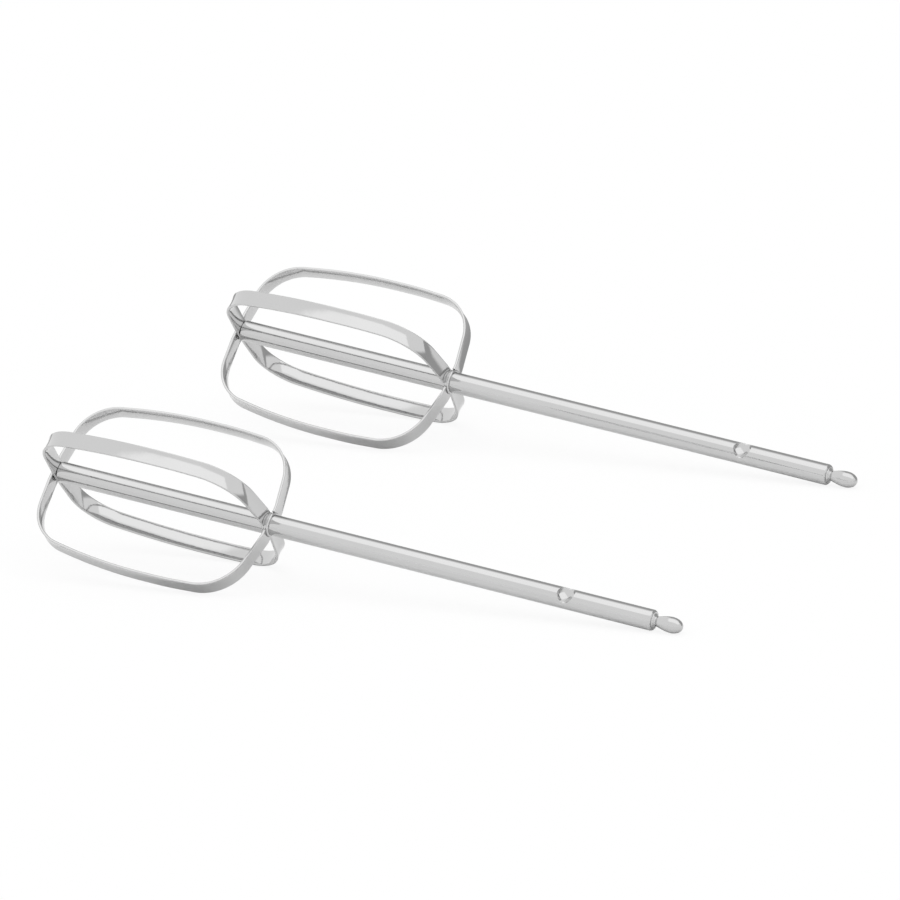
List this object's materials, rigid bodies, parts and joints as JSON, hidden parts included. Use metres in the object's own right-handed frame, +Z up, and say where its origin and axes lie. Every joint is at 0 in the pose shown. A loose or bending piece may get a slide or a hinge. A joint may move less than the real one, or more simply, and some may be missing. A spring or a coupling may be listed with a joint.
{
  "type": "hand mixer beaters",
  "caption": "Loose wire-cage whisk beaters for a hand mixer: flat steel strip loops riveted round a slim round drive stem, lying on a flat surface.",
  "frame": {"origin": "middle of the pair's footprint, on the surface the pair lies on", "axes": "+X along the stems towards the drive ends, +Z up, +Y from the front beater towards the rear one"},
  "size_m": [0.2348, 0.1934, 0.0418],
  "materials": {
    "stem_steel": "polished steel bar",
    "strip_steel": "polished steel strip",
    "collar_steel": "polished steel ring"
  },
  "bodies": {
    "rear_beater": {"rear_stem": "stem_steel", "rear_inner_loop": "strip_steel", "rear_outer_loop": "strip_steel", "rear_hub_collar": "collar_steel"},
    "front_beater": {"front_stem": "stem_steel", "front_inner_loop": "strip_steel", "front_outer_loop": "strip_steel", "front_hub_collar": "collar_steel"}
  },
  "joints": [
    {"name": "front_beater_lift", "type": "slide", "parent": "rear_beater", "child": "front_beater", "axis": [0, 0, 1], "range_m": [0, 0.12]}
  ]
}
